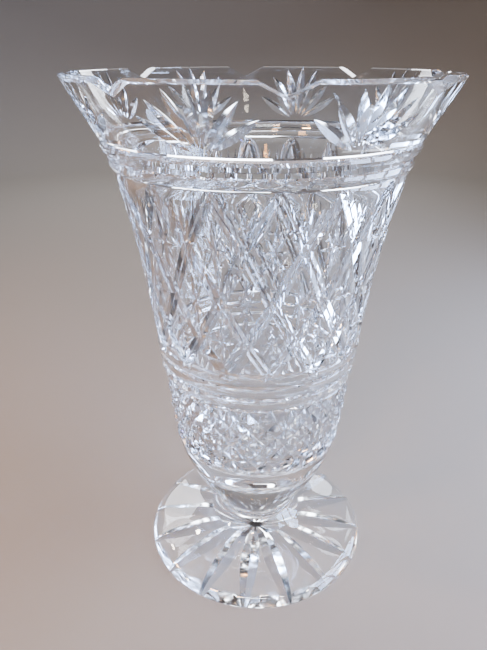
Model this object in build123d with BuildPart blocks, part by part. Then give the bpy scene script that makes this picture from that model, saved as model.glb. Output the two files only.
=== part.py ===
"""Footed vase of clear lead crystal, cut by hand, 300 mm tall.

Three pieces of glass are joined while hot, one on top of the other: the blown bowl,
a short solid stem and a cast disc foot.  They meet face to face, and nothing moves.
The origin is the centre of the face that the vase stands on, and +Z is up.
A notch of the rim faces -Y.
"""

import os
from math import radians, sin

from build123d import *

os.makedirs("parts", exist_ok=True)

# Driving dimensions, in millimetres.
height = 300.0
rim_radius = 98.0
foot_radius = 73.3
stem_radius = 25.0
panels = 8                 # scallops round the rim, each with one fan of cuts below it
star_rays = 2 * panels     # leaf-shaped cuts under the foot
rim_wall = 6.0
body_wall = 7.5

# Heights of the joints and of the decorated zones.
stem_bottom = 26.0
bowl_bottom = 40.0
cavity_floor = 58.0
band_bottom = 135.0        # three narrow rings between the lattice and the diamonds
band_top = 158.4
body_top = 253.8           # the lattice ends below the two upper rings
flare_bottom = 269.5
ring_height = 4.2          # each upper ring
ring_relief = 1.4          # how far a ring stands out of the grooves beside it
groove_height = 3.8
ring_lip = 0.6             # the slanted corner of a ring, where the wheel has run out

# Outer radii at those heights.
flare_middle_radius = 90.7 # just above the middle of the flare
flare_radius = 82.0
body_top_radius = 76.8
body_middle_radius = 66.6
band_top_radius = 60.5
band_bottom_radius = 57.4
belly_radius = 51.0        # where the lower bowl begins to turn in
belly_height = 82.5
shoulder_radius = 44.4
shoulder_height = 64.5
bowl_bottom_radius = 30.6
waist_radius = 26.9        # half-way up the stem
heel_radius = 24.0         # where the floor of the cavity turns up into its wall
heel_rise = 2.2

# Rim notches: wide shallow V cuts between the flat-topped panels.
notch_width = 23.6
notch_depth = 5.8
rim_bevel = 1.2

# Foot: a disc with a rounded edge and a low domed top.
edge_height = 7.5
edge_inset = 6.5
edge_round = 2.0
edge_bulge = 1.6           # how far the edge has drawn in below its top
edge_bulge_drop = 2.4
dome_radius = 44.0
dome_height = 12.4
neck_flare = 4.5           # the dome turns up into the stem over this width
neck_height = 19.0
dome_tilt = (-1, 0.22)     # the way the dome leaves the edge: inwards and a little up

# Star under the foot, ground by a V-edged wheel that sinks in and lifts out again.
ray_inner = 7.0
ray_outer = 81.0           # past the edge, so that each ray leaves a small nick there
ray_depth = 3.2
ray_width = 11.5


# ---------------------------------------------------------------- bowl
# The bowl is blown, and everything outside is cut into its thick wall.
ring_1_top = flare_bottom
ring_1_bottom = ring_1_top - ring_height
ring_2_top = ring_1_bottom - groove_height
ring_2_bottom = ring_2_top - ring_height
groove_radius = body_top_radius + ring_relief
band_ring_count = 3
band_groove = 2.2          # width of each V groove beside a band ring
band_relief = 1.1
band_rise = 0.4            # the band's rings stand this far out of the wall
band_pitch = (band_top - band_bottom) / band_ring_count
band_taper = (band_top_radius - band_bottom_radius) / (band_top - band_bottom)
body_middle_height = (band_top + body_top) / 2
body_lean = (0.07, 1.0)    # the way the wall leaves the band downwards
bowl_lean = (0.55, 1.0)    # the way the bowl leaves the stem
flare_wall = 1.0           # the wall is this much thicker at the foot of the flare
belly_wall = 0.5
flare_inner_drop = 4.0
flare_middle_height = (flare_bottom + height) / 2 + 1.0


def band_radius(z):
    """Outer radius of the three-ring band at a height."""
    return band_bottom_radius + band_taper * (z - band_bottom)


with BuildPart() as bowl:
    with BuildSketch(Plane.XZ):
        with BuildLine():
            inner_rim = (rim_radius - rim_wall, height)
            inner_flare = (flare_radius - rim_wall - flare_wall, flare_bottom - flare_inner_drop)
            inner_body = (body_top_radius - body_wall, body_top)
            inner_middle = (body_middle_radius - body_wall, body_middle_height)
            inner_band = (band_top_radius - body_wall, band_top)
            inner_belly = (belly_radius - body_wall - belly_wall, belly_height)
            inner_heel = (heel_radius, cavity_floor + heel_rise)
            floor_centre = (0, cavity_floor)
            # Outside, from the joint with the stem up to the rim.
            Line((0, bowl_bottom), (bowl_bottom_radius, bowl_bottom))
            Spline(
                (bowl_bottom_radius, bowl_bottom),
                (shoulder_radius, shoulder_height),
                (belly_radius, belly_height),
                (band_bottom_radius, band_bottom),
                tangents=[bowl_lean, body_lean],
            )
            half = band_groove / 2
            band_points = [(band_bottom_radius, band_bottom)]
            for ring in range(band_ring_count):
                low = band_bottom + ring * band_pitch
                high = low + band_pitch
                band_points.append((band_radius(low + half) + band_rise, low + half))
                band_points.append((band_radius(high - half) + band_rise, high - half))
                band_points.append((band_radius(high) + band_rise - band_relief, high))
            band_points[-1] = (band_top_radius, band_top)
            Polyline(*band_points)
            ThreePointArc(
                (band_top_radius, band_top),
                (body_middle_radius, body_middle_height),
                (body_top_radius, body_top),
            )
            Polyline(
                (body_top_radius, body_top),
                (body_top_radius, ring_2_bottom - ring_lip),
                (groove_radius + ring_lip, ring_2_bottom),
                (groove_radius + 2 * ring_lip, ring_2_top),
                (groove_radius, ring_2_top + ring_lip),
                (groove_radius + ring_lip, ring_1_bottom - ring_lip),
                (flare_radius - 2 * ring_lip, ring_1_bottom),
                (flare_radius - ring_lip, ring_1_top - ring_lip),
                (flare_radius, ring_1_top),
            )
            ThreePointArc(
                (flare_radius, flare_bottom),
                (flare_middle_radius, flare_middle_height),
                (rim_radius, height - rim_bevel),
            )
            Line((rim_radius, height - rim_bevel), (rim_radius - rim_bevel, height))
            Line((rim_radius - rim_bevel, height), inner_rim)
            # Inside, down to the rounded floor.
            Line(inner_rim, inner_flare)
            Line(inner_flare, inner_body)
            ThreePointArc(inner_body, inner_middle, inner_band)
            Spline(
                inner_band,
                inner_belly,
                inner_heel,
                floor_centre,
                tangents=[(-0.1, -1.0), (-1.0, 0.0)],
            )
            Line(floor_centre, (0, bowl_bottom))
        make_face()
    revolve(axis=Axis.Z)
    # Each notch is one straight pass of a wide wheel across the rim.
    with BuildSketch(Plane.XZ) as notch_outline:
        Polygon(
            (0, height - notch_depth),
            (notch_width, height + notch_depth),
            (-notch_width, height + notch_depth),
            align=None,
        )
    notch = extrude(notch_outline.sketch, amount=rim_radius + rim_wall, mode=Mode.PRIVATE)
    with PolarLocations(0, panels):
        add(notch, mode=Mode.SUBTRACT)

bowl.part.label = "bowl"
export_step(bowl.part, "parts/bowl.step")


# ---------------------------------------------------------------- stem
# A solid button of glass between bowl and foot, drawn in to a waist with a ring round it.
ring_line_height = 29.0
ring_line_radius = stem_radius + 0.9
ring_line_half = 1.0
waist_height = (ring_line_height + ring_line_half + bowl_bottom) / 2

with BuildPart() as stem:
    with BuildSketch(Plane.XZ):
        with BuildLine():
            Line((0, stem_bottom), (stem_radius, stem_bottom))
            Line((stem_radius, stem_bottom), (stem_radius, ring_line_height - ring_line_half))
            ThreePointArc(
                (stem_radius, ring_line_height - ring_line_half),
                (ring_line_radius, ring_line_height),
                (stem_radius, ring_line_height + ring_line_half),
            )
            ThreePointArc(
                (stem_radius, ring_line_height + ring_line_half),
                (waist_radius, waist_height),
                (bowl_bottom_radius, bowl_bottom),
            )
            Line((bowl_bottom_radius, bowl_bottom), (0, bowl_bottom))
            Line((0, bowl_bottom), (0, stem_bottom))
        make_face()
    revolve(axis=Axis.Z)

stem.part.label = "stem"
export_step(stem.part, "parts/stem.step")


# ---------------------------------------------------------------- foot
# A disc cast on to the stem.  Its underside is ground flat and cut with a star.
with BuildPart() as foot:
    with BuildSketch(Plane.XZ):
        with BuildLine():
            arc_gap = edge_round * (1 - sin(radians(45)))
            edge_top = (foot_radius - edge_inset, edge_height)
            Line((0, 0), (foot_radius - edge_round, 0))
            ThreePointArc(
                (foot_radius - edge_round, 0),
                (foot_radius - arc_gap, arc_gap),
                (foot_radius, edge_round),
            )
            Spline(
                (foot_radius, edge_round),
                (foot_radius - edge_bulge, edge_height - edge_bulge_drop),
                edge_top,
                tangents=[(0, 1), dome_tilt],
            )
            Spline(
                edge_top,
                (dome_radius, dome_height),
                (stem_radius + neck_flare, neck_height),
                (stem_radius, stem_bottom),
                tangents=[dome_tilt, (0, 1)],
            )
            Line((stem_radius, stem_bottom), (0, stem_bottom))
            Line((0, stem_bottom), (0, 0))
        make_face()
    revolve(axis=Axis.Z)
    # The wheel has the radius that sinks to ray_depth over the length of one ray.
    half_chord = (ray_outer - ray_inner) / 2
    wheel_radius = (half_chord**2 + ray_depth**2) / (2 * ray_depth)
    wheel_centre = ((ray_outer + ray_inner) / 2, ray_depth - wheel_radius)
    wheel_rim = 2 * ray_depth
    wheel_half_width = ray_width / 2 * wheel_rim / ray_depth
    first_ray = 180.0 / star_rays
    with BuildPart(mode=Mode.PRIVATE) as wheel:
        wheel_plane = Plane(origin=(wheel_centre[0], 0, wheel_centre[1]), x_dir=(0, 1, 0), z_dir=(1, 0, 0))
        with BuildSketch(wheel_plane):
            Polygon(
                (0, wheel_radius),
                (wheel_half_width, wheel_radius - wheel_rim),
                (-wheel_half_width, wheel_radius - wheel_rim),
                align=None,
            )
        revolve(axis=Axis((wheel_centre[0], 0, wheel_centre[1]), (0, 1, 0)))
    with PolarLocations(0, star_rays, start_angle=first_ray):
        add(wheel.part, mode=Mode.SUBTRACT)

foot.part.label = "foot"
export_step(foot.part, "parts/foot.step")
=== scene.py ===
from math import atan2, cos, pi, radians, sin

import bpy
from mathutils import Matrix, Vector


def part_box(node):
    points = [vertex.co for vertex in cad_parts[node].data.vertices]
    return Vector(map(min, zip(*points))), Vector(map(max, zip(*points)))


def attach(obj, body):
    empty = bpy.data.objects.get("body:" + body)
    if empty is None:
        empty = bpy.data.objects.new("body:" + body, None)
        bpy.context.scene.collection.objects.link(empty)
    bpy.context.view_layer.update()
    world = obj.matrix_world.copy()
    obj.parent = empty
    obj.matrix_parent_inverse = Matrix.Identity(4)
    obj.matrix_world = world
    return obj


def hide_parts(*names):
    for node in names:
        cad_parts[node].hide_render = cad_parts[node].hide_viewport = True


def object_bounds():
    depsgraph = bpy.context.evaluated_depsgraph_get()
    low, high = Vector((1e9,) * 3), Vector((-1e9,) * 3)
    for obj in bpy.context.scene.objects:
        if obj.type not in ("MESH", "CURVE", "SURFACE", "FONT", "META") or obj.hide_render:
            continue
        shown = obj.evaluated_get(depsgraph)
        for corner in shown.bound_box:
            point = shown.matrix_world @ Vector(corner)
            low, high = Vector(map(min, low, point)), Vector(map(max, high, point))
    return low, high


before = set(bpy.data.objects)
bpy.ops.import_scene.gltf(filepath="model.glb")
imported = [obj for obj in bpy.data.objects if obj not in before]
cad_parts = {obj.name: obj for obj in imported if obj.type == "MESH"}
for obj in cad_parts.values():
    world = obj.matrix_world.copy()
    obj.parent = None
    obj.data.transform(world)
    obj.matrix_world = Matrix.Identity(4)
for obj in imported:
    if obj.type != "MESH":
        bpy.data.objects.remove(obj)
cad_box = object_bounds()


# ---------------------------------------------------------------- camera
# A hand-held camera close in front of the vase, level with its rim and looking down into
# its middle, so that the foot is seen from above and the rim almost edge on.
vase_height = cad_box[1][2] - cad_box[0][2]
camera_distance = 1.031 * vase_height       # from the axis, measured along the floor
camera_height = 1.030 * vase_height
camera_side = radians(-6.1)                 # turned from the notch that faces -Y
camera_aside = radians(1.64)                # the aim passes a little to the left of the axis
camera_pitch = radians(25.9)

camera_data = bpy.data.cameras.new("studio_camera")
camera_data.sensor_fit = "VERTICAL"
camera_data.sensor_height = 36.0
camera_data.lens = 31.27
camera = bpy.data.objects.new("studio_camera", camera_data)
bpy.context.scene.collection.objects.link(camera)
camera.location = (
    camera_distance * sin(camera_side),
    -camera_distance * cos(camera_side),
    camera_height,
)
camera.rotation_euler = (radians(90) - camera_pitch, 0, camera_side + camera_aside)
bpy.context.scene.camera = camera


# ---------------------------------------------------------------- studio
# A round, plain pale table top sweeps up into a plain wall all round.  The light is a square
# window on the right, warm lamps on the left, and panels out of the picture behind.
def linear(hex_colour):
    """A #rrggbb colour as linear RGBA."""
    channels = [int(hex_colour[i:i + 2], 16) / 255 for i in (1, 3, 5)]
    values = [c / 12.92 if c <= 0.04045 else ((c + 0.055) / 1.055) ** 2.4 for c in channels]
    return (*values, 1.0)


def add_node(material, kind, settings=None, links=None, **sockets):
    """A shader node with its settings, input values and links: {input: (node, output)}."""
    node = material.node_tree.nodes.new(kind)
    for name, value in (settings or {}).items():
        setattr(node, name, value)
    for name, value in sockets.items():
        node.inputs[name.replace("_", " ")].default_value = value
    for name, (source, output) in (links or {}).items():
        material.node_tree.links.new(source.outputs[output], node.inputs[name])
    return node


def new_material(name):
    """An empty node material with its output node."""
    material = bpy.data.materials.new(name)
    material.use_nodes = True
    material.node_tree.nodes.clear()
    output = add_node(material, "ShaderNodeOutputMaterial")
    return material, output


def deselect():
    """Leaves nothing selected, and the object mode on."""
    if bpy.context.object and bpy.context.object.mode != "OBJECT":
        bpy.ops.object.mode_set(mode="OBJECT")
    bpy.ops.object.select_all(action="DESELECT")


table_drop = 0.0003           # keeps the glass a hair clear of the table top
floor_radius = 1.35
sweep_radius = 0.35
sweep_steps = 12
wall_height = 1.8

matt_paint, paint_output = new_material("matt_paint")
paint = add_node(matt_paint, "ShaderNodeBsdfPrincipled", Base_Color=linear("#948e86"), Roughness=0.85)
matt_paint.node_tree.links.new(paint.outputs["BSDF"], paint_output.inputs["Surface"])

deselect()
bpy.ops.mesh.primitive_circle_add(
    vertices=96, radius=floor_radius, fill_type="NGON", location=(0, 0, -table_drop)
)
table = bpy.context.object
table.name = "table_top"
bpy.ops.object.mode_set(mode="EDIT")
bpy.ops.mesh.inset(thickness=0.1)
bpy.ops.mesh.select_mode(type="EDGE")
bpy.ops.mesh.select_all(action="SELECT")
bpy.ops.mesh.region_to_loop()
reach, level = floor_radius, 0.0
for step in range(1, sweep_steps + 1):
    turn = radians(90) * step / sweep_steps
    next_reach = floor_radius + sweep_radius * sin(turn)
    next_level = sweep_radius * (1 - cos(turn))
    bpy.ops.mesh.extrude_region_move()
    bpy.ops.transform.resize(value=(next_reach / reach, next_reach / reach, 1), center_override=(0, 0, 0))
    bpy.ops.transform.translate(value=(0, 0, next_level - level))
    reach, level = next_reach, next_level
bpy.ops.mesh.extrude_region_move(TRANSFORM_OT_translate={"value": (0, 0, wall_height - level)})
bpy.ops.object.mode_set(mode="OBJECT")
bpy.ops.object.shade_smooth()
table.data.materials.append(matt_paint)

world = bpy.data.worlds.new("dim_room")
world.use_nodes = True
world.node_tree.nodes["Background"].inputs["Color"].default_value = linear("#8a8d92")
world.node_tree.nodes["Background"].inputs["Strength"].default_value = 0.3
bpy.context.scene.world = world
bpy.context.scene.view_settings.look = "AgX - High Contrast"


def soft_light(name, place, aim, size, power, colour):
    """A rectangular soft box at a place, turned to a point."""
    data = bpy.data.lights.new(name, "AREA")
    data.shape = "RECTANGLE"
    data.size = size[0]
    data.size_y = size[1]
    data.energy = power
    data.color = linear(colour)[:3]
    light = bpy.data.objects.new(name, data)
    bpy.context.scene.collection.objects.link(light)
    light.location = place
    light.rotation_euler = (Vector(aim) - Vector(place)).to_track_quat("-Z", "Y").to_euler()
    light.visible_camera = False


# The window on the right has nine panes.
pane = 0.24
pane_pitch = 0.29
window_side = 0.75            # the window's distance from the axis
window_height = 0.42
daylight = "#c2d8ff"
for column in (-1.5, -0.5, 0.5):
    for row in (-1, 0, 1):
        pane_place = (window_side, column * pane_pitch, window_height + row * pane_pitch)
        pane_aim = (0, pane_place[1] * 0.4, pane_place[2] * 0.9)
        soft_light("window_pane", pane_place, pane_aim, (pane, pane), 2.4, daylight)
# The lamps on the left are small and warm, and put points of light in the cuts.
for lamp_place in ((-0.55, -0.45, 0.75), (-0.7, 0.05, 0.5), (-0.3, -0.75, 0.95)):
    soft_light("warm_lamp", lamp_place, (0, 0, 0.15), (0.1, 0.1), 2.0, "#ffc184")
# Bare bulbs put the sharpest sparks in the cuts.
bulb = (0.05, 0.05)
bulb_power = 0.6
for bulb_place in (
    (0.35, -0.8, 0.9), (0.6, -0.6, 0.45), (-0.75, -0.25, 0.3), (0.1, -0.5, 1.2), (-0.5, 0.6, 0.9)
):
    soft_light("bare_bulb", bulb_place, (0, 0, 0.15), bulb, bulb_power, "#fff1de")
# Two faintly coloured bulbs give the blue and amber fire that lead crystal splits from white light.
for fire_place, fire_colour in (((0.25, -0.95, 0.7), "#8f9bff"), ((-0.2, -0.95, 0.6), "#ffb469")):
    soft_light("fire_bulb", fire_place, (0, 0, 0.18), bulb, bulb_power, fire_colour)
# A lamp in front and above draws bright lines along the edges.
soft_light("front_lamp", (-0.15, -0.9, 1.0), (0, 0, 0.1), (0.5, 0.06), 2.6, "#ffffff")
# Three panels behind the vase, above the picture, light the cuts and the foot from within.
panel_pitch = 0.56
panel_back = 1.35
panel_height = 0.90
for column in (-1, 0, 1):
    panel_place = (panel_pitch * column, panel_back, panel_height)
    soft_light("back_panel", panel_place, (0, 0, 0.12), (0.4, 0.56), 4.0, "#f4f8ff")

# Light turns many times inside cut glass before it comes out.
light_paths = bpy.context.scene.cycles
light_paths.max_bounces = 40
light_paths.transmission_bounces = 32
light_paths.glossy_bounces = 24
light_paths.transparent_max_bounces = 16


# ---------------------------------------------------------------- bowl
# The blown bowl is clear lead crystal, 5 to 8 mm thick and thicker towards its solid base.
# Its rings are turned on a stone wheel, and the other cuts are V grooves polished with acid.
mm = 0.001
bowl_low, bowl_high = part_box("bowl")
bowl_bottom = bowl_low[2] / mm
rim_height = bowl_high[2] / mm
panels = 8
half_panel = 180 / panels                   # degrees from a notch to the middle of a panel
turn_step = half_panel / 12                 # degrees between the facets of a turned surface
rim_radius = 98.0
rim_bevel = 1.2
rim_wall = 6.0
notch_width = 23.6
notch_depth = 5.8

band_bottom = 135.0
band_top = 158.4
body_top = 253.8
ring_relief = 1.4
ring_height = 4.2
ring_gap = 3.8
flare_bottom = 269.5
flare_radius = 82.0
body_top_radius = 76.8


def smooth_radius(stations):
    """A radius for any height, on a smooth curve through (height, radius) stations."""
    def slope(i):
        low = stations[max(i - 1, 0)]
        high = stations[min(i + 1, len(stations) - 1)]
        return (high[1] - low[1]) / (high[0] - low[0])

    def radius(height):
        i = 0
        while i < len(stations) - 2 and height > stations[i + 1][0]:
            i += 1
        (z0, r0), (z1, r1) = stations[i], stations[i + 1]
        span = z1 - z0
        t = (height - z0) / span
        return (
            r0 * (1 + 2 * t) * (1 - t) ** 2
            + slope(i) * span * t * (1 - t) ** 2
            + r1 * t * t * (3 - 2 * t)
            + slope(i + 1) * span * t * t * (t - 1)
        )

    return radius


joint_radius = 30.6                         # where the bowl sits on the stem
band_bottom_radius = 57.4
band_top_radius = 60.5
heel_height = 70                            # the cavity's floor turns up into its wall here
heel_radius = 34.5
heel_drop = 12
lower_radius = smooth_radius([
    (28, 22.5), (bowl_bottom, joint_radius), (52, 38.0), (64.5, 44.4), (82.5, 50.8), (108, 55.0),
    (band_bottom, band_bottom_radius), (band_top, band_top_radius),
])
body_radius = smooth_radius([
    (band_bottom, band_bottom_radius), (band_top, band_top_radius), (182, 63.3), (206, 66.6),
    (230, 71.2), (body_top, body_top_radius), (268, 80.6),
])
flare_curve = smooth_radius([
    (262, 78.6), (flare_bottom, flare_radius), (279, 87.0), (289, 92.6),
    (rim_height - rim_bevel, rim_radius),
])
cavity_radius = smooth_radius([
    (62, 26.0), (heel_height, heel_radius), (82.5, 42.4), (108, 47.6), (band_bottom, 50.2),
    (band_top, 53.0), (206, 59.2), (body_top, 69.4), (flare_bottom, 75.4), (285, 84.2),
    (rim_height, rim_radius - rim_wall),
])


def heights(low, high, spacing):
    """Evenly spaced heights from low to high."""
    count = max(1, round((high - low) / spacing))
    return [low + (high - low) * i / count for i in range(count + 1)]


def bowl_outline():
    """The section of the bowl as (radius, height) points, up the outside and down the inside."""
    band_margin = 1.2
    rim_inner_bevel = 0.6
    points = [(0.0, bowl_bottom)]
    points += [(lower_radius(z), z) for z in heights(bowl_bottom, band_bottom - band_margin, 3.4)]
    ring_count = 3
    pitch = (band_top - band_bottom) / ring_count
    groove_half = 1.0
    groove_depth = 1.7
    ring_crown = 0.8
    for ring in range(ring_count):
        low = band_bottom + ring * pitch
        points.append((body_radius(low) - groove_depth, low))
        for share in (0, 0.15, 0.4, 0.6, 0.85, 1):
            z = low + groove_half + (pitch - 2 * groove_half) * share
            points.append((body_radius(z) + ring_crown * (1 - (2 * share - 1) ** 2), z))
    points.append((body_radius(band_top) - groove_depth, band_top))
    points += [(body_radius(z), z) for z in heights(band_top + band_margin, body_top, 3.2)]
    ring_2_bottom = body_top + ring_gap - 0.3
    ring_2_top = ring_2_bottom + ring_height
    ring_1_bottom = flare_bottom - ring_height
    points += [
        (body_top_radius, ring_2_bottom - 1.4),
        (body_top_radius + 0.5, ring_2_bottom - 0.9),
        (body_top_radius + ring_relief, ring_2_bottom - 0.2),
        (body_top_radius + ring_relief + 0.5, ring_2_bottom + 0.6),
        (body_top_radius + ring_relief + 0.9, (ring_2_bottom + ring_2_top) / 2),
        (body_top_radius + ring_relief + 0.8, ring_2_top),
        (body_top_radius + ring_relief, ring_2_top + 0.8),
        (body_top_radius + ring_relief + 0.8, ring_1_bottom - 0.8),
        (flare_radius - 0.6, ring_1_bottom),
        (flare_radius + 0.3, (ring_1_bottom + flare_bottom) / 2),
        (flare_radius, flare_bottom - 0.4),
        (flare_radius - 0.9, flare_bottom + 0.5),
    ]
    points += [(flare_curve(z), z) for z in heights(flare_bottom + 1.6, rim_height - rim_bevel, 3.0)]
    points.append((rim_radius - rim_bevel, rim_height))
    points.append((rim_radius - rim_wall + rim_inner_bevel, rim_height))
    cavity_heights = heights(heel_height, rim_height - rim_inner_bevel, 4.4)
    points += [(cavity_radius(z), z) for z in reversed(cavity_heights)]
    floor_steps = 7
    for i in range(1, floor_steps):
        turn = radians(90) * i / floor_steps
        points.append((heel_radius * cos(turn), heel_height - heel_drop * sin(turn)))
    points.append((0.0, heel_height - heel_drop))
    return points


def turned_wedge(name, outline, angle, material):
    """A closed slice of a turned shape, from -Y round to an angle towards +X and a step over."""
    deselect()
    bpy.ops.mesh.primitive_circle_add(vertices=len(outline), fill_type="NGON")
    wedge = bpy.context.object
    wedge.name = name
    first = radians(-turn_step)
    for vertex, (radius, height) in zip(wedge.data.vertices, outline):
        vertex.co = Vector((radius * sin(first), -radius * cos(first), height)) * mm
    bpy.ops.object.mode_set(mode="EDIT")
    bpy.ops.mesh.select_all(action="SELECT")
    bpy.ops.mesh.spin(
        steps=round(angle / turn_step) + 2, angle=radians(angle + 2 * turn_step),
        center=(0, 0, 0), axis=(0, 0, -1),
    )
    bpy.ops.mesh.select_all(action="SELECT")
    bpy.ops.mesh.remove_doubles(threshold=1e-7)
    bpy.ops.mesh.normals_make_consistent(inside=False)
    bpy.ops.object.mode_set(mode="OBJECT")
    wedge.data.materials.append(material)
    return wedge


def on_wall(radius_at, angle, height):
    """The point on a turned wall at an angle in degrees and a height, with its outward normal."""
    radius = radius_at(height)
    slope = radius_at(height + 0.5) - radius_at(height - 0.5)
    out = Vector((sin(radians(angle)), -cos(radians(angle)), 0))
    point = out * radius + Vector((0, 0, height))
    normal = (out - Vector((0, 0, slope))).normalized()
    return point, normal


def v_cutter(path, material, depth, half_width, clearance=1.5):
    """The bar of glass that a V-edged wheel takes away.

    path is a list of (point, outward normal, share of the full depth) in millimetres, and the
    bar stands out of the wall by the clearance.
    """
    deselect()
    bpy.ops.mesh.primitive_cylinder_add(vertices=3, radius=1, depth=2, end_fill_type="NGON")
    cutter = bpy.context.object
    cutter.name = "cutter"
    stations = len(path)
    bpy.ops.object.mode_set(mode="EDIT")
    for station in range(1, stations - 1):
        bpy.ops.mesh.select_all(action="SELECT")
        level = -1 + 2 * station / (stations - 1)
        bpy.ops.mesh.bisect(plane_co=(0, 0, level), plane_no=(0, 0, 1))
    bpy.ops.object.mode_set(mode="OBJECT")
    spread = half_width / depth
    for vertex in cutter.data.vertices:
        station = round((vertex.co.z + 1) / 2 * (stations - 1))
        corner = round(atan2(vertex.co.x, vertex.co.y) / radians(120)) % 3
        point, normal, share = path[station]
        before = path[max(station - 1, 0)][0]
        after = path[min(station + 1, stations - 1)][0]
        side = (after - before).cross(normal).normalized()
        sink = depth * share
        if corner == 0:
            place = point - normal * sink
        else:
            reach = (sink + clearance) * spread
            place = point + normal * clearance + side * reach * (1 if corner == 1 else -1)
        vertex.co = place * mm
    bpy.ops.object.mode_set(mode="EDIT")
    bpy.ops.mesh.select_all(action="SELECT")
    bpy.ops.mesh.normals_make_consistent(inside=False)
    bpy.ops.object.mode_set(mode="OBJECT")
    cutter.data.materials.append(material)
    return cutter


def cut(piece, cutter):
    """Takes the cutter away from the piece and throws it away."""
    deselect()
    piece.select_set(True)
    bpy.context.view_layer.objects.active = piece
    modifier = piece.modifiers.new("cut", "BOOLEAN")
    modifier.operation = "DIFFERENCE"
    modifier.solver = "MANIFOLD"
    modifier.material_mode = "TRANSFER"
    modifier.object = cutter
    bpy.ops.object.modifier_apply(modifier="cut")
    bpy.data.meshes.remove(cutter.data)


def leaf_path(radius_at, start, end, stations=9):
    """A path that sinks in at one (angle, height) place and lifts out at the other."""
    path = []
    overshoot = 0.06                        # of the leaf's length, at either end
    for i in range(stations):
        t = -overshoot + (1 + 2 * overshoot) * i / (stations - 1)
        angle = start[0] + (end[0] - start[0]) * t
        height = start[1] + (end[1] - start[1]) * t
        share = 1 - (2 * t - 1) ** 2
        path.append((*on_wall(radius_at, angle, height), share))
    return path


def trim(wedge, normal):
    """Cuts a wedge flush with a plane through the axis, and drops what lies beyond it."""
    flush = 2e-6
    deselect()
    wedge.select_set(True)
    bpy.context.view_layer.objects.active = wedge
    bpy.ops.object.mode_set(mode="EDIT")
    bpy.ops.mesh.select_mode(type="FACE")
    bpy.ops.mesh.select_all(action="SELECT")
    bpy.ops.mesh.bisect(plane_co=(0, 0, 0), plane_no=normal, threshold=flush, clear_outer=True)
    bpy.ops.mesh.select_all(action="DESELECT")
    bpy.ops.object.mode_set(mode="OBJECT")
    mesh = wedge.data
    for vertex in mesh.vertices:
        away = vertex.co.dot(normal)
        if abs(away) < 1.5 * flush:
            vertex.co -= normal * away
    for polygon in mesh.polygons:
        corners = [mesh.vertices[i].co for i in polygon.vertices]
        polygon.select = all(abs(corner.dot(normal)) < flush / 10 for corner in corners)
    bpy.ops.object.mode_set(mode="EDIT")
    bpy.ops.mesh.delete(type="FACE")
    bpy.ops.object.mode_set(mode="OBJECT")


def repeat_round(wedge, angle):
    """Mirrors a cut half sector, turns copies of it round the axis and joins them up."""
    trim(wedge, Vector((-1, 0, 0)))
    trim(wedge, Vector((cos(radians(angle)), sin(radians(angle)), 0)))
    modifier = wedge.modifiers.new("mirror", "MIRROR")
    modifier.use_axis = (True, False, False)
    modifier.use_mirror_merge = True
    modifier.merge_threshold = 3e-7
    bpy.ops.object.modifier_apply(modifier="mirror")
    turns = round(180 / angle)
    bpy.ops.object.mode_set(mode="EDIT")
    bpy.ops.mesh.select_all(action="SELECT")
    bpy.ops.mesh.spin(
        steps=turns - 1, angle=radians(360 - 360 / turns), center=(0, 0, 0), axis=(0, 0, -1), dupli=True,
        use_auto_merge=False,
    )
    bpy.ops.mesh.select_all(action="SELECT")
    bpy.ops.mesh.remove_doubles(threshold=5e-7)
    bpy.ops.mesh.delete_loose(use_verts=True, use_edges=True, use_faces=False)
    bpy.ops.mesh.select_all(action="SELECT")
    bpy.ops.mesh.fill_holes(sides=8)
    bpy.ops.mesh.select_all(action="SELECT")
    bpy.ops.mesh.normals_make_consistent(inside=False)
    bpy.ops.object.mode_set(mode="OBJECT")


def let_lamps_through(material, glass, output):
    """Lamps light what is behind the glass, a little less at each surface they pass."""
    lamp_ray = add_node(material, "ShaderNodeLightPath")
    passing = add_node(material, "ShaderNodeBsdfTransparent", Color=linear("#d0d5da"))
    surface = add_node(material, "ShaderNodeMixShader", links={"Fac": (lamp_ray, "Is Shadow Ray")})
    material.node_tree.links.new(glass.outputs["BSDF"], surface.inputs[1])
    material.node_tree.links.new(passing.outputs["BSDF"], surface.inputs[2])
    material.node_tree.links.new(surface.outputs["Shader"], output.inputs["Surface"])


# Fire-polished lead crystal: colourless and very bright, with the slow waves of blown glass
# and a faint film that softens a reflection here and there.
fire_polished, polished_output = new_material("fire_polished_lead_crystal")
polished_place = add_node(fire_polished, "ShaderNodeTexCoord")
blown_waves = add_node(
    fire_polished, "ShaderNodeTexNoise", Scale=1 / (18 * mm), Detail=1.0,
    links={"Vector": (polished_place, "Object")},
)
blown_bump = add_node(
    fire_polished, "ShaderNodeBump", Strength=1.0, Distance=0.035 * mm,
    links={"Height": (blown_waves, "Fac")},
)
film = add_node(
    fire_polished, "ShaderNodeTexNoise", Scale=1 / (30 * mm), Detail=4.0,
    links={"Vector": (polished_place, "Object")},
)
film_haze = add_node(
    fire_polished, "ShaderNodeMapRange", From_Min=0.5, From_Max=0.75, To_Min=0.0, To_Max=0.03,
    links={"Value": (film, "Fac")},
)
crystal = add_node(
    fire_polished, "ShaderNodeBsdfPrincipled",
    Base_Color=linear("#fbfdff"), IOR=1.55, Transmission_Weight=1.0,
    links={"Normal": (blown_bump, "Normal"), "Roughness": (film_haze, "Result")},
)
let_lamps_through(fire_polished, crystal, polished_output)

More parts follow.
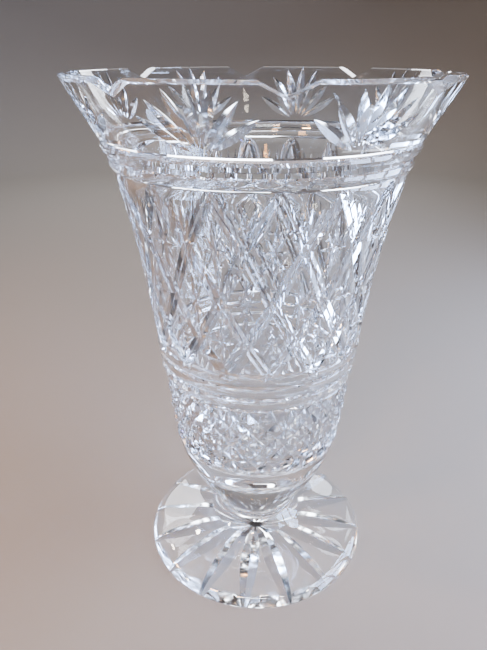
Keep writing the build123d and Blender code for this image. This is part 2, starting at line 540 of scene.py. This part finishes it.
# Acid-polished cuts: the wheel leaves fine ripples, and the acid melts them smooth, so that a
# cut is a little softer than the skin beside it and lets a little less light through.
acid_polished, acid_output = new_material("acid_polished_cut_crystal")
cut_place = add_node(acid_polished, "ShaderNodeTexCoord")
wheel_ripple = add_node(
    acid_polished, "ShaderNodeTexNoise", Scale=1 / (2.2 * mm), Detail=2.0,
    links={"Vector": (cut_place, "Object")},
)
ripple_bump = add_node(
    acid_polished, "ShaderNodeBump", Strength=1.0, Distance=0.008 * mm,
    links={"Height": (wheel_ripple, "Fac")},
)
etch = add_node(
    acid_polished, "ShaderNodeMapRange", From_Min=0.35, From_Max=0.7, To_Min=0.01, To_Max=0.06,
    links={"Value": (wheel_ripple, "Fac")},
)
cut_glass = add_node(
    acid_polished, "ShaderNodeBsdfPrincipled",
    Base_Color=linear("#e0e5ec"), IOR=1.55, Transmission_Weight=1.0,
    links={"Normal": (ripple_bump, "Normal"), "Roughness": (etch, "Result")},
)
let_lamps_through(acid_polished, cut_glass, acid_output)

# The leaves of the fans and of the star come out of the acid with a satin bloom.
satin_polished, satin_output = new_material("satin_polished_leaf_cuts")
satin_place = add_node(satin_polished, "ShaderNodeTexCoord")
leaf_ripple = add_node(
    satin_polished, "ShaderNodeTexNoise", Scale=1 / (3.0 * mm), Detail=2.0,
    links={"Vector": (satin_place, "Object")},
)
leaf_bump = add_node(
    satin_polished, "ShaderNodeBump", Strength=1.0, Distance=0.003 * mm,
    links={"Height": (leaf_ripple, "Fac")},
)
bloom = add_node(
    satin_polished, "ShaderNodeMapRange", From_Min=0.35, From_Max=0.7, To_Min=0.07, To_Max=0.16,
    links={"Value": (leaf_ripple, "Fac")},
)
leaf_glass = add_node(
    satin_polished, "ShaderNodeBsdfPrincipled",
    Base_Color=linear("#d3dae3"), IOR=1.55, Transmission_Weight=1.0,
    links={"Normal": (leaf_bump, "Normal"), "Roughness": (bloom, "Result")},
)
let_lamps_through(satin_polished, leaf_glass, satin_output)

bowl = turned_wedge("bowl_glass", bowl_outline(), half_panel, fire_polished)

# The notches of the rim.
notch_outer = rim_radius + 6
notch_inner = 60
deselect()
bpy.ops.mesh.primitive_cylinder_add(vertices=3, radius=1, depth=2, end_fill_type="NGON")
notch = bpy.context.object
for vertex in notch.data.vertices:
    corner = round(atan2(vertex.co.x, vertex.co.y) / radians(120)) % 3
    reach = -notch_outer if vertex.co.z > 0 else -notch_inner
    x = (0, notch_width, -notch_width)[corner]
    z = rim_height + (-notch_depth, notch_depth, notch_depth)[corner]
    vertex.co = (x * mm, reach * mm, z * mm)
bpy.ops.object.mode_set(mode="EDIT")
bpy.ops.mesh.select_all(action="SELECT")
bpy.ops.mesh.normals_make_consistent(inside=False)
bpy.ops.object.mode_set(mode="OBJECT")
notch.data.materials.append(acid_polished)
cut(bowl, notch)

# A fan of leaves on each panel.
fan_base = 270.5
fan_leaves = 7
fan_step = 18.5               # degrees between leaves
leaf_length = 31.5
leaf_foot = 5.0               # the leaves start this far from where they would meet
leaf_depth = 1.9
leaf_half_width = 2.7
flare_lean = 0.89             # how much of a length along the flare is height
for number in range(fan_leaves):
    lean = radians(fan_step * (number - (fan_leaves - 1) / 2))
    ends = []
    for reach in (leaf_foot, leaf_length):
        height = fan_base + reach * cos(lean) * flare_lean
        ends.append((half_panel + reach * sin(lean) / flare_curve(height) * 180 / pi, height))
    leaf = leaf_path(flare_curve, *ends)
    cut(bowl, v_cutter(leaf, satin_polished, leaf_depth, leaf_half_width))

# The lattice of twin mitre cuts.
crossings = [body_top, 228.0, 199.5, 178.0, band_top]
twin_gap = 3.1                # between the two grooves of a pair
mitre_depth = 1.5
mitre_half_width = 1.6        # at 1.7 the bowl's mesh is left with open edges
overrun = 1.0                 # how far a cut runs on into the band or the ring beside it
side_margin = radians(3)      # a cut that passes this near to the half sector still touches it
cell = 360 / 16               # degrees from one crossing to the next in a row


def lattice_angle(z):
    """How far a lattice line has turned, in cells, at a height."""
    for row in range(4):
        high, low = crossings[row], crossings[row + 1]
        if z >= low or row == 3:
            return (row + (high - z) / (high - low)) / 2


for direction in (1, -1):
    for start in range(-2, 4):
        for twin in (-0.5, 0.5):
            path = []
            for z in reversed(heights(band_top - overrun, body_top + overrun, 4.4)):
                angle = cell * (start + direction * lattice_angle(z))
                point, normal = on_wall(body_radius, angle, z)
                along, _ = on_wall(body_radius, cell * (start + direction * lattice_angle(z - 1)), z - 1)
                side = (along - point).cross(normal).normalized()
                path.append((point + side * twin * twin_gap, normal, 1.0))
            angles = [atan2(p.x, -p.y) for p, _, _ in path]
            if max(angles) > -side_margin and min(angles) < radians(half_panel) + side_margin:
                cut(bowl, v_cutter(path, acid_polished, mitre_depth, mitre_half_width))

# Stars in the diamonds of the lattice: an upright leaf, one across it and two that lean.
star_tall = 0.62              # shares of the diamond that a star fills
star_wide = 0.52
for column, top, bottom in ((0, 0, 2), (1, 1, 3), (2, 0, 2), (0, 2, 4), (2, 2, 4)):
    middle_angle = column * cell / 2
    middle_height = crossings[top + 1]
    tall = (crossings[top] - crossings[bottom]) / 2 * star_tall
    wide = cell / 2 * star_wide
    for across, along, depth, half_width in (
        (0, tall, 1.2, 1.6),
        (wide, 0, 1.0, 1.3),
        (wide * 0.6, tall * 0.5, 1.0, 1.2),
        (-wide * 0.6, tall * 0.5, 1.0, 1.2),
    ):
        start = (middle_angle - across, middle_height - along)
        end = (middle_angle + across, middle_height + along)
        leaf = leaf_path(body_radius, start, end)
        cut(bowl, v_cutter(leaf, acid_polished, depth, half_width))

# Small fans of three leaves in the upper triangles.
sprig_foot = 7.0              # above the crossing
sprig_tip = 21.0
sprig_depth = 1.0
sprig_half_width = 1.4
for lean in (-1, 0, 1):
    start = (cell / 2 + lean * 0.6, crossings[1] + sprig_foot)
    end = (cell / 2 + lean * 4.5, crossings[1] + sprig_tip)
    leaf = leaf_path(body_radius, start, end)
    cut(bowl, v_cutter(leaf, acid_polished, sprig_depth, sprig_half_width))

# Diamond points below the three rings.
point_top = 132.0
point_rows = 7
row_height = 6.0
point_cell = 360 / 32
point_bottom = point_top - point_rows * row_height
point_depth = 1.8             # at 1.9 some edges of the mesh get more than two faces
point_half_width = 3.9
point_margin = radians(6)
for direction in (1, -1):
    for start in range(-3, 6):
        path = []
        for z in reversed(heights(point_bottom, point_top, 3.0)):
            angle = point_cell * (start + direction * (point_top - z) / (2 * row_height))
            path.append((*on_wall(lower_radius, angle, z), 1.0))
        angles = [atan2(p.x, -p.y) for p, _, _ in path]
        if max(angles) > -point_margin and min(angles) < radians(half_panel) + point_margin:
            cut(bowl, v_cutter(path, acid_polished, point_depth, point_half_width))

repeat_round(bowl, half_panel)
bpy.ops.object.shade_smooth_by_angle(angle=radians(18))
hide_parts("bowl")
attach(bowl, "root")


# ---------------------------------------------------------------- stem
# A short solid button of glass, gathered on to the bowl while both are hot and drawn in with
# a tool, which leaves a ring round it where it meets the foot.
stem_low, stem_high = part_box("stem")
stem_bottom = stem_low[2] / mm
stem_radius = 25.0
ring_line_height = 29.0
ring_line_half = 1.0
ring_line_rise = 0.9

waist_bottom = ring_line_height + 2
ring_line_steps = 6

waist_radius = smooth_radius([
    (stem_bottom, stem_radius + 0.6), (waist_bottom, stem_radius), (35, 27.2), (bowl_bottom, joint_radius),
])
stem_outline = [(0.0, stem_bottom), (stem_radius, stem_bottom)]
for step in range(ring_line_steps + 1):
    turn = radians(180) * step / ring_line_steps
    stem_outline.append(
        (stem_radius + ring_line_rise * sin(turn), ring_line_height - ring_line_half * cos(turn))
    )
stem_outline += [(waist_radius(z), z) for z in heights(waist_bottom, bowl_bottom, 1.5)]
stem_outline.append((0.0, bowl_bottom))

stem = turned_wedge("stem_glass", stem_outline, half_panel, fire_polished)
repeat_round(stem, half_panel)
bpy.ops.object.shade_smooth_by_angle(angle=radians(30))
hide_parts("stem")
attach(stem, "root")


# ---------------------------------------------------------------- foot
# A thick disc cast on to the stem and spun flat, with a rounded edge.  Its underside is
# ground level and cut with a star of sixteen leaf-shaped rays.
foot_low, foot_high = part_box("foot")
foot_radius = foot_high[0] / mm
edge_height = 7.5
edge_inset = 6.5
star_rays = 16
half_ray = 180 / star_rays
ray_inner = 2.5
ray_outer = 77.0
ray_depth = 3.2
ray_half_width = 5.75

# The same curve serves for the dome, as a height for any radius.
dome_height = smooth_radius([
    (20, 27.0), (stem_radius, stem_bottom), (29.5, 19.0), (44, 12.4),
    (foot_radius - edge_inset, edge_height), (foot_radius, 5.2),
])
edge_round = 1.6
edge_bulge = 0.9
round_steps = 5
bevel_steps = 7
foot_outline = [(0.0, 0.0)]
for step in range(round_steps + 1):
    turn = radians(90) * step / round_steps
    foot_outline.append((foot_radius - edge_round * (1 - sin(turn)), edge_round * (1 - cos(turn))))
for step in range(1, bevel_steps + 1):
    share = step / bevel_steps
    bulge = edge_bulge * 4 * share * (1 - share)
    reach = foot_radius - edge_inset * share + bulge * 0.5
    foot_outline.append((reach, edge_round + (edge_height - edge_round) * share + bulge))
dome_reaches = list(reversed(heights(stem_radius, foot_radius - edge_inset, 2.6)))
foot_outline += [(reach, dome_height(reach)) for reach in dome_reaches[1:]]
foot_outline.append((0.0, stem_bottom))

foot = turned_wedge("foot_glass", foot_outline, half_ray, fire_polished)
ray_path = []
ray_stations = 29
ray_overrun = 1               # the cutter runs on past either end of a ray
for station in range(ray_stations):
    run = ray_outer - ray_inner + 2 * ray_overrun
    reach = ray_inner - ray_overrun + run * station / (ray_stations - 1)
    along = (2 * reach - ray_inner - ray_outer) / (ray_outer - ray_inner)
    out = Vector((sin(radians(half_ray)), -cos(radians(half_ray)), 0))
    ray_path.append((out * reach, Vector((0, 0, -1)), 1 - along * along))
cut(foot, v_cutter(ray_path, satin_polished, ray_depth, ray_half_width))
repeat_round(foot, half_ray)
bpy.ops.object.shade_smooth_by_angle(angle=radians(16))
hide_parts("foot")
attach(foot, "root")

# Where the pieces were joined hot the glass runs on without a surface.
fused_joint, fused_output = new_material("fused_joint")
fused = add_node(fused_joint, "ShaderNodeBsdfPrincipled", Base_Color=linear("#ffffff"), Alpha=0.0)
fused_joint.node_tree.links.new(fused.outputs["BSDF"], fused_output.inputs["Surface"])
for piece, levels in ((bowl, [bowl_bottom]), (stem, [stem_bottom, bowl_bottom]), (foot, [stem_bottom])):
    piece.data.materials.append(fused_joint)
    last_slot = len(piece.data.materials) - 1
    for polygon in piece.data.polygons:
        corner_heights = [piece.data.vertices[i].co.z for i in polygon.vertices]
        for level in levels:
            if all(abs(height - level * mm) < 1e-6 for height in corner_heights):
                polygon.material_index = last_slot
